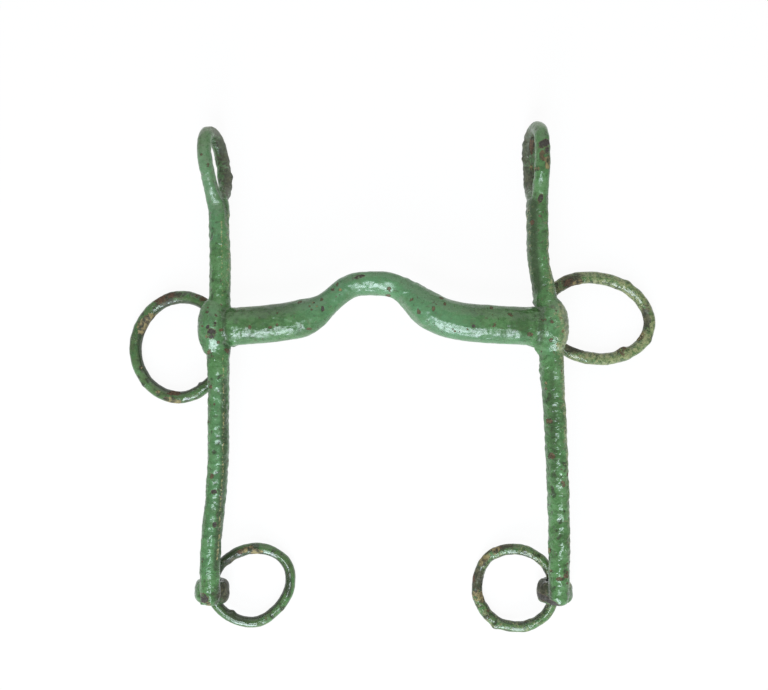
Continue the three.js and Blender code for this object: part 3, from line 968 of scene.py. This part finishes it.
# A finish of the paint: how worn, how light, its ripples as a texture, their strength, how strong the
# smaller bumps are, how much shorter its ripples are lengthwise, and its stains' colours
Finish = namedtuple("Finish", "wear lightness ripples strength small_bumps crosswise stain_stops")
CHEEK_FINISH = Finish(0.12, 0.04, Texture(2.9, 1.6, 0.50, 0.7), 2.1, 1.0, CROSSWISE, BIT_STAIN_STOPS)
MOUTH_FINISH = Finish(0.12, 0.0, Texture(3.9, 0.6, 0.50, 0.7), 2.1, 0.15, CROSSWISE, BIT_STAIN_STOPS)
RING_FINISH = Finish(0.7, 0.06, Texture(2.3, 1.6, 0.50, 0.7), 1.0, 1.0, 1, RING_STAIN_STOPS)


class PaintKit(Kit):
    """A kit with what every layer of the painted iron reads."""

    def __init__(self, tree):
        super().__init__(tree)
        self.coords = self.nodes.new("ShaderNodeTexCoord").outputs["Object"]
        self.mottle = self.texture(MOTTLE, self.coords)
        self.fine = self.texture(FINE, self.coords)
        self.ragged = self.texture(RAGGED, self.coords)
        self.speckled = self.texture(SPECKLES, self.coords)
        self.worn = self.attribute("worn")
        self.polish = self.attribute("polish")
        small_frays = self.maths("MULTIPLY", self.ragged, 3.0)
        large_frays = self.maths("MULTIPLY", self.mottle, 4.5)
        self.frayed = self.maths("SUBTRACT", self.maths("ADD", small_frays, large_frays), 2.75)

    def ragged_mask(self, kind, grow):
        """A kind of mark with frayed rims, grown a little past them."""
        mark = self.maths("MULTIPLY", self.attribute(kind), self.frayed)
        return self.step(mark, 0.52 - grow, 0.62 - grow)


def green_coat(kit, finish):
    """Thick green paint, lighter and darker by turns, with fresher places that are partly a painted sheen,
    olive places, and dark green for soiling and painted shade.
    """
    wear = finish.wear
    broad = kit.texture(BROAD, kit.coords)
    tone = kit.maths("ADD", kit.maths("MULTIPLY", broad, 0.45), kit.maths("MULTIPLY", kit.mottle, 0.55))
    tone = kit.maths("ADD", tone, finish.lightness)
    colour = kit.ramp(tone, GREEN_STOPS)
    colour = kit.blend(kit.attribute("fresh_and_sheen"), colour, FRESH_AND_SHEEN_GREEN)
    dulled = kit.maths("ADD", kit.mottle, kit.maths("MULTIPLY", kit.worn, -0.3))
    olive_share = kit.step(dulled, 0.36 - wear * 0.25, 0.58 - wear * 0.2, 0, 0.2 + wear * 0.6)
    colour = kit.blend(olive_share, colour, OLIVE)
    # Grime and painted shade
    dirt_and_shade = kit.maths("ADD", kit.attribute("dirt_and_shade"), kit.maths("MULTIPLY", kit.ragged, 0.5))
    dirt_and_shade = kit.step(dirt_and_shade, 0.35, 0.85)
    return kit.blend(kit.maths("MULTIPLY", dirt_and_shade, 0.75 + wear * 0.15), colour, GRIME_AND_SHADE)


def stain_coat(kit, finish, colour):
    """Stains, soil, pale dusting and pale painted light over the paint; also gives how stained and how
    soiled each place is.
    """
    blotches = kit.texture(BLOTCHES, kit.coords)
    blotchy = kit.maths("MULTIPLY", kit.maths("SUBTRACT", blotches, 0.5), 3.4)
    stained = kit.step(kit.maths("ADD", kit.attribute("stain"), blotchy), 0.35, 0.70, 0, 0.85)
    colour = kit.blend(stained, colour, kit.ramp(kit.speckled, finish.stain_stops))
    soil_reach = kit.maths("ADD", kit.maths("MULTIPLY", kit.attribute("soil"), 0.8), blotchy)
    soiled = kit.step(soil_reach, 0.30, 0.50, 0, 0.92)
    colour = kit.blend(soiled, colour, kit.ramp(kit.speckled, SOIL_STOPS))
    patchy = kit.step(kit.mottle, 0.30, 0.60, 0.4, 1.0)
    # Dust, and painted light
    dusty_and_lit = kit.maths("MULTIPLY", kit.attribute("dust_and_light"), patchy)
    return kit.blend(dusty_and_lit, colour, DUST_AND_LIGHT_GREY), stained, soiled


def rust_specks(kit, finish):
    """Specks of rust in some of the cells of a jittered grid, rarer where the paint is calm."""
    jitter = kit.nodes.new("ShaderNodeTexNoise")
    jitter.inputs["Scale"].default_value = 1 / (CELL_JITTER_SIZE * MM)
    kit.links.new(kit.coords, jitter.inputs["Vector"])
    jittered = kit.nodes.new("ShaderNodeVectorMath")
    jittered.operation = "MULTIPLY_ADD"
    kit.links.new(jitter.outputs["Color"], jittered.inputs[0])
    jittered.inputs[1].default_value = [CELL_JITTER * MM] * 3
    kit.links.new(kit.coords, jittered.inputs[2])
    cells = kit.nodes.new("ShaderNodeTexVoronoi")
    cells.inputs["Scale"].default_value = 1 / (CELL_SIZE * MM)
    kit.links.new(jittered.outputs["Vector"], cells.inputs["Vector"])
    pick = kit.nodes.new("ShaderNodeSeparateColor")
    kit.links.new(cells.outputs["Color"], pick.inputs["Color"])
    rarity = kit.step(kit.polish, 0, 1, 0.80 - finish.wear * 0.1, 0.90)
    radius = kit.maths("MULTIPLY", kit.maths("SUBTRACT", pick.outputs["Red"], rarity, True), 1.3)
    return kit.step(kit.maths("SUBTRACT", radius, cells.outputs["Distance"]), -0.04, 0.05)


def rust_coat(kit, finish, colour):
    """Rust, flaking ochre and the yellow seam; also gives where rust and ochre are."""
    wear = finish.wear
    rust = kit.maths("MAXIMUM", kit.ragged_mask("rust", 0.0), rust_specks(kit, finish), True)
    colour = kit.blend(kit.maths("MULTIPLY", rust, 0.85), colour, kit.ramp(kit.fine, RUST_STOPS))
    loose = kit.maths("ADD", kit.ragged, kit.maths("MULTIPLY", kit.worn, 0.25))
    flaking = kit.step(loose, 0.84 - wear * 0.17, 0.90 - wear * 0.17, 0, 0.25 + wear * 0.6)
    ochre = kit.maths("MAXIMUM", kit.ragged_mask("ochre", 0.1), flaking, True)
    colour = kit.blend(kit.maths("MULTIPLY", ochre, 0.85), colour, kit.ramp(kit.speckled, OCHRE_STOPS))
    dots = kit.step(kit.texture(DOTS, kit.coords), 0.50, 0.60, 0, 0.6)
    colour = kit.blend(kit.maths("MULTIPLY", kit.attribute("seam"), dots), colour, SEAM_YELLOW)
    return colour, rust, ochre


def chip_coat(kit, colour):
    """Chips down to the metal with rusty rims; also gives where the chips are."""
    rim = kit.ragged_mask("metal", 0.28)
    colour = kit.blend(kit.maths("MULTIPLY", rim, 0.6), colour, RUST)
    chip = kit.ragged_mask("metal", 0.1)
    return kit.blend(chip, colour, kit.ramp(kit.fine, METAL_STOPS)), chip


def gloss(kit, finish, stained, dull):
    """The paint's roughness and specular level: glossy, but not where it is dull."""
    rough = kit.step(kit.mottle, 0.3, 0.7, 0.15, 0.25)
    rough = kit.maths("ADD", rough, kit.maths("MULTIPLY", kit.polish, 0.16 - finish.wear * 0.24))
    rough = kit.maths("ADD", rough, kit.maths("MULTIPLY", stained, 0.06))
    return kit.mix(dull, rough, 0.62), kit.mix(dull, 0.5, 0.22)


def bumps(kit, finish, bare):
    """The normal of rippled paint, sunk where it is bare of paint."""
    squeezed = kit.nodes.new("ShaderNodeMapping")
    squeezed.inputs["Scale"].default_value = (1, finish.crosswise, 1)
    kit.links.new(kit.coords, squeezed.inputs["Vector"])
    ripple = kit.texture(finish.ripples, squeezed.outputs["Vector"])
    patchy = kit.step(kit.texture(PATCHES, kit.coords), 0.40, 0.60, 0.45, 1.0)
    rippled = kit.maths("MULTIPLY", ripple, kit.maths("MULTIPLY", patchy, finish.strength))
    height = kit.maths("ADD", kit.maths("MULTIPLY", kit.fine, 0.03 * finish.small_bumps), rippled)
    height = kit.maths("ADD", height, kit.maths("MULTIPLY", kit.mottle, 0.08 * finish.small_bumps))
    roughness = kit.maths("SUBTRACT", 1.0, kit.maths("MULTIPLY", kit.polish, 0.75))
    height = kit.maths("MULTIPLY", height, roughness)
    height = kit.maths("SUBTRACT", height, kit.maths("MULTIPLY", bare, 0.35))
    bump = kit.nodes.new("ShaderNodeBump")
    bump.inputs["Strength"].default_value = 1.0
    bump.inputs["Distance"].default_value = BUMP_DEPTH * MM
    kit.links.new(height, bump.inputs["Height"])
    return bump.outputs["Normal"]


def painted_iron(name, finish):
    """Thick green paint on iron, with rust specks, dry ochre patches and chips down to the metal."""
    material = bpy.data.materials.new(name)
    material.use_nodes = True
    kit = PaintKit(material.node_tree)
    colour, stained, soiled = stain_coat(kit, finish, green_coat(kit, finish))
    colour, rust, ochre = rust_coat(kit, finish, colour)
    colour, chip = chip_coat(kit, colour)
    bare = kit.maths("MAXIMUM", rust, kit.maths("MAXIMUM", ochre, chip), True)
    dull = kit.maths("MAXIMUM", bare, kit.maths("MULTIPLY", soiled, 0.8), True)
    rough, shine = gloss(kit, finish, stained, dull)
    normal = bumps(kit, finish, bare)

    shader = kit.nodes.new("ShaderNodeBsdfPrincipled")
    shader.inputs["IOR"].default_value = 1.56
    shader.inputs["Sheen Weight"].default_value = 0.04
    shader.inputs["Sheen Roughness"].default_value = 0.35
    shader.inputs["Sheen Tint"].default_value = (*SHEEN_BLUE, 1)
    kit.links.new(colour, shader.inputs["Base Color"])
    kit.links.new(rough, shader.inputs["Roughness"])
    kit.links.new(shine, shader.inputs["Specular IOR Level"])
    kit.links.new(normal, shader.inputs["Normal"])
    output = kit.nodes.new("ShaderNodeOutputMaterial")
    kit.links.new(shader.outputs["BSDF"], output.inputs["Surface"])
    return material


# The pale studio: floor, world and lights, in metres and watts; the floor lies a hair low, in mm
FLOOR_REACH = 3.0
FLOOR_DROP = 0.05
FLOOR_GREY = (0.90, 0.90, 0.90)
FLOOR_GLOW = 0.93
WHITE = (1.0, 1.0, 1.0)
WORLD_TINT = (1.0, 0.95, 0.95)
WORLD_STRENGTH = 0.46
COOL = (0.86, 0.96, 1.06)
MINT = (0.94, 1.0, 0.95)
AIM = Vector((0, 0, 0.01))
Light = namedtuple("Light", "name place size power colour")
LIGHTS = [
    Light("key", (-0.08, -0.72, 0.42), (0.44, 0.48), 4.2, COOL),
    Light("key_middle", (-0.08, -0.71, 0.40), (0.34, 0.28), 2.4, COOL),
    Light("key_high", (-0.05, -0.32, 0.60), (0.28, 0.20), 2.0, COOL),
    Light("wrap", (0.0, -0.95, 0.14), (1.5, 0.40), 1.6, COOL),
    Light("fill", (0.05, 0.80, 0.52), (1.4, 0.9), 3.6, MINT),
]


def floor_paint():
    """Matt and pale, but nearly white to the camera wherever no shadow falls."""
    material = bpy.data.materials.new("floor")
    material.use_nodes = True
    kit = Kit(material.node_tree)
    matt = kit.nodes.new("ShaderNodeBsdfDiffuse")
    matt.inputs["Color"].default_value = (*FLOOR_GREY, 1)
    glow = kit.nodes.new("ShaderNodeEmission")
    glow.inputs["Color"].default_value = (*WHITE, 1)
    ray = kit.nodes.new("ShaderNodeLightPath").outputs
    seen = kit.maths("MAXIMUM", ray["Is Camera Ray"], ray["Is Glossy Ray"])
    seen = kit.maths("MAXIMUM", seen, ray["Is Transmission Ray"])
    mix = kit.nodes.new("ShaderNodeMixShader")
    kit.links.new(kit.maths("MULTIPLY", seen, FLOOR_GLOW), mix.inputs["Fac"])
    kit.links.new(matt.outputs["BSDF"], mix.inputs[1])
    kit.links.new(glow.outputs["Emission"], mix.inputs[2])
    output = kit.nodes.new("ShaderNodeOutputMaterial")
    kit.links.new(mix.outputs["Shader"], output.inputs["Surface"])
    return material


def add_floor():
    mesh = bpy.data.meshes.new("floor")
    signs = ((-1, -1), (1, -1), (1, 1), (-1, 1))
    corners = [(x * FLOOR_REACH, y * FLOOR_REACH, -FLOOR_DROP * MM) for x, y in signs]
    mesh.from_pydata(corners, [], [(0, 1, 2, 3)])
    mesh.materials.append(floor_paint())
    floor = bpy.data.objects.new("floor", mesh)
    bpy.context.scene.collection.objects.link(floor)


def add_light(light):
    data = bpy.data.lights.new(light.name, "AREA")
    data.shape = "RECTANGLE"
    data.size, data.size_y = light.size
    data.energy = light.power
    data.color = light.colour
    lamp = bpy.data.objects.new(light.name, data)
    lamp.location = light.place
    lamp.rotation_euler = (AIM - Vector(light.place)).to_track_quat("-Z", "Y").to_euler()
    bpy.context.scene.collection.objects.link(lamp)


def add_world():
    """White to the camera, and a dimmer, warmer light from all round on the bit."""
    world = bpy.data.worlds.new("studio")
    bpy.context.scene.world = world
    world.use_nodes = True
    kit = Kit(world.node_tree)
    seen = kit.nodes.new("ShaderNodeLightPath").outputs["Is Camera Ray"]
    strength = kit.maths("ADD", kit.maths("MULTIPLY", seen, 1 - WORLD_STRENGTH), WORLD_STRENGTH)
    background = kit.nodes.new("ShaderNodeBackground")
    kit.links.new(kit.blend(seen, WORLD_TINT, WHITE), background.inputs["Color"])
    kit.links.new(strength, background.inputs["Strength"])
    output = kit.nodes.new("ShaderNodeOutputWorld")
    kit.links.new(background.outputs["Background"], output.inputs["Surface"])


def finish_piece(piece, body, nodes, material):
    piece.data.materials.clear()
    piece.data.materials.append(material)
    keep_in_box(piece)
    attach(piece, body)
    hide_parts(*nodes)


def make_bit(cheek_paint, mouth_paint):
    """The welded bit: a rough cheek on each side and the smooth mouthpiece between them."""
    cheeks = {side: [f"{side}_{part}" for part in CHEEK_NODES] for side in ("left", "right")}
    skin = forge("bit_skin", cheeks["left"] + cheeks["right"] + ["mouthpiece"])
    wear_mouthpiece(skin)
    roughen_bit(skin)
    left = part_of(skin, "left_cheek", None, LEFT_CUT)
    middle = part_of(skin, "mouthpiece_bar", LEFT_CUT, RIGHT_CUT)
    right = part_of(skin, "right_cheek", RIGHT_CUT, None)
    bpy.data.objects.remove(skin)
    finish_piece(left, "bit", cheeks["left"], cheek_paint)
    finish_piece(middle, "bit", ["mouthpiece"], mouth_paint)
    finish_piece(right, "bit", cheeks["right"], cheek_paint)


def make_ring(name, seed, material):
    piece = bend_ring(f"{name}_wire", name)
    set_points(piece.data, stray(points_of(piece.data), name))
    roughen_ring(piece, name, seed)
    finish_piece(piece, name, [name], material)


bpy.context.scene.view_settings.view_transform = "Standard"
add_camera()
add_world()
add_floor()
for light in LIGHTS:
    add_light(light)
make_bit(painted_iron("green_paint", CHEEK_FINISH), painted_iron("glossy_green_paint", MOUTH_FINISH))
worn_paint = painted_iron("worn_green_paint", RING_FINISH)
for index, ring in enumerate(RING_STRAY):
    make_ring(ring, RING_SEED + RING_SEED_STEP * index, worn_paint)
